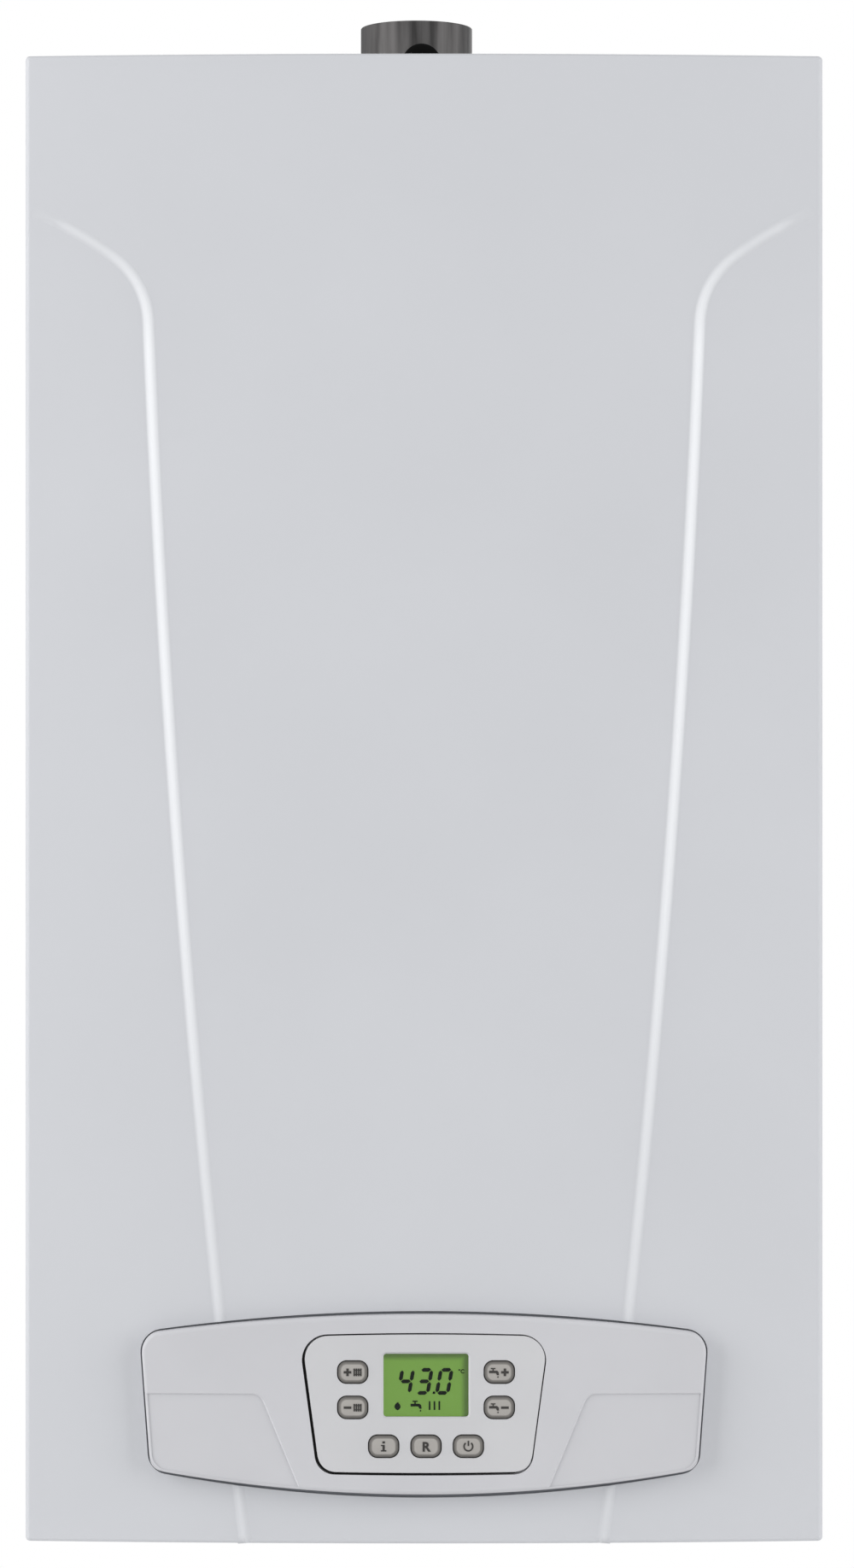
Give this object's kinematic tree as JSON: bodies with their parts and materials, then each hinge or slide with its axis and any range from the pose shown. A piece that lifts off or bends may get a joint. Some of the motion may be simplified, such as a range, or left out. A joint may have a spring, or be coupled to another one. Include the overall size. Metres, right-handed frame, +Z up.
{
  "type": "combi boiler",
  "caption": "Wall-hung combi boiler with a bowed grey casing, a hinged control panel with a display and keys, and a steel flue collar on top.",
  "frame": {"origin": "on the wall plane, at the bottom centre of the casing", "axes": "+X to the right seen from the front, the front faces -Y and the wall lies towards +Y, +Z up"},
  "size_m": [0.4, 0.308, 0.806],
  "materials": {
    "cover_enamel": "satin light grey enamel",
    "light_plastic": "fine matt light grey",
    "panel_plastic": "fine matt grey",
    "key_rubber": "soft matt warm grey",
    "window_clear": "clear",
    "display_green": "backlit",
    "board_green": "solder resist",
    "housing_grey": "matt",
    "zinc_steel": "galvanised",
    "screw_steel": "plated",
    "aluminised_steel": "drawn, brushed",
    "black_rubber": "matt",
    "seal_foam": "foam",
    "cast_aluminium": "cast",
    "copper": "bare copper",
    "brass": "machined",
    "cast_grey": "painted",
    "red_paint": "gloss",
    "fibre_white": "ceramic fibre",
    "black_plastic": "matt",
    "red_plastic": "matt",
    "blue_plastic": "matt",
    "white_plastic": "matt",
    "stainless": "bright"
  },
  "bodies": {
    "chassis": {"back_frame": "zinc_steel", "top_panel": "zinc_steel", "chamber_shell": "zinc_steel", "chamber_lid": "zinc_steel", "lid_seal": "seal_foam", "panel_screws": "screw_steel", "blanking_plate": "zinc_steel", "flue_collar": "aluminised_steel", "sampling_plug": "black_rubber", "fan_housing": "cast_aluminium", "fan_motor": "black_plastic", "air_pressure_switch": "white_plastic", "sensing_tubes": "black_rubber", "flue_hood": "aluminised_steel", "heat_exchanger_fins": "copper", "heat_exchanger_tubes": "copper", "combustion_chamber": "aluminised_steel", "insulation_panels": "fibre_white", "burner": "stainless", "expansion_vessel": "red_paint", "gas_valve": "cast_aluminium", "copper_pipes": "copper", "pump_body": "cast_grey", "pump_motor": "cast_aluminium", "air_vent": "brass", "return_manifold": "brass", "flow_manifold": "brass", "plate_heat_exchanger": "stainless", "three_way_motor": "white_plastic", "safety_valve_body": "brass", "gauge_body": "black_plastic", "filling_tap_body": "brass", "connection_stubs": "brass", "union_nuts": "brass", "bottom_shelf": "zinc_steel", "bottom_rail": "zinc_steel", "hinge_pins": "screw_steel", "cable_gland": "black_plastic"},
    "cover": {"front_cover": "cover_enamel", "cover_screws": "screw_steel"},
    "control_box": {"fascia": "light_plastic", "insert_panel": "panel_plastic", "display_window": "window_clear", "display_module": "display_green", "circuit_board": "board_green", "rear_housing": "housing_grey", "box_screws": "screw_steel"},
    "key_heat_up": {"button_heat_up": "key_rubber"},
    "key_heat_down": {"button_heat_down": "key_rubber"},
    "key_water_up": {"button_water_up": "key_rubber"},
    "key_water_down": {"button_water_down": "key_rubber"},
    "key_info": {"button_info": "key_rubber"},
    "key_reset": {"button_reset": "key_rubber"},
    "key_power": {"button_power": "key_rubber"},
    "fan_wheel": {"fan_impeller": "aluminised_steel"},
    "pump_wheel": {"pump_impeller": "black_plastic"},
    "valve_spindle": {"three_way_spindle": "screw_steel"},
    "safety_knob": {"safety_valve_knob": "red_plastic"},
    "gauge_pointer": {"gauge_needle": "red_plastic"},
    "filling_knob": {"filling_tap_knob": "blue_plastic"}
  },
  "joints": [
    {"name": "cover_slide", "type": "slide", "parent": "chassis", "child": "cover", "axis": [0, -1, 0], "range_m": [0, 0.35]},
    {"name": "box_hinge", "type": "hinge", "parent": "chassis", "child": "control_box", "pos_m": [0, -0.292, 0.012], "axis": [1, 0, 0], "range_deg": [0, 90]},
    {"name": "fan_spin", "type": "hinge", "parent": "chassis", "child": "fan_wheel", "pos_m": [0.034, -0.14, 0.668], "axis": [0, -1, 0], "continuous": true},
    {"name": "pump_spin", "type": "hinge", "parent": "chassis", "child": "pump_wheel", "pos_m": [0.13, -0.085, 0.142], "axis": [0, -1, 0], "continuous": true},
    {"name": "diverter_travel", "type": "slide", "parent": "chassis", "child": "valve_spindle", "axis": [0, 0, 1], "range_m": [0, 0.006]},
    {"name": "safety_knob_turn", "type": "hinge", "parent": "chassis", "child": "safety_knob", "pos_m": [0.125, -0.1, 0.057], "axis": [0, -1, 0], "range_deg": [0, 90]},
    {"name": "gauge_sweep", "type": "hinge", "parent": "chassis", "child": "gauge_pointer", "pos_m": [0, -0.246, 0.004], "axis": [0, 0, 1], "range_deg": [-60, 200]},
    {"name": "filling_knob_turn", "type": "hinge", "parent": "chassis", "child": "filling_knob", "pos_m": [0.098, -0.045, 0], "axis": [0, 0, 1], "range_deg": [0, 90]},
    {"name": "key_heat_up_press", "type": "slide", "parent": "control_box", "child": "key_heat_up", "axis": [0, 1, 0], "range_m": [0, 0.0012], "stiffness_N_per_m": 500},
    {"name": "key_heat_down_press", "type": "slide", "parent": "control_box", "child": "key_heat_down", "axis": [0, 1, 0], "range_m": [0, 0.0012], "stiffness_N_per_m": 500},
    {"name": "key_water_up_press", "type": "slide", "parent": "control_box", "child": "key_water_up", "axis": [0, 1, 0], "range_m": [0, 0.0012], "stiffness_N_per_m": 500},
    {"name": "key_water_down_press", "type": "slide", "parent": "control_box", "child": "key_water_down", "axis": [0, 1, 0], "range_m": [0, 0.0012], "stiffness_N_per_m": 500},
    {"name": "key_info_press", "type": "slide", "parent": "control_box", "child": "key_info", "axis": [0, 1, 0], "range_m": [0, 0.0012], "stiffness_N_per_m": 500},
    {"name": "key_reset_press", "type": "slide", "parent": "control_box", "child": "key_reset", "axis": [0, 1, 0], "range_m": [0, 0.0012], "stiffness_N_per_m": 500},
    {"name": "key_power_press", "type": "slide", "parent": "control_box", "child": "key_power", "axis": [0, 1, 0], "range_m": [0, 0.0012], "stiffness_N_per_m": 500}
  ]
}
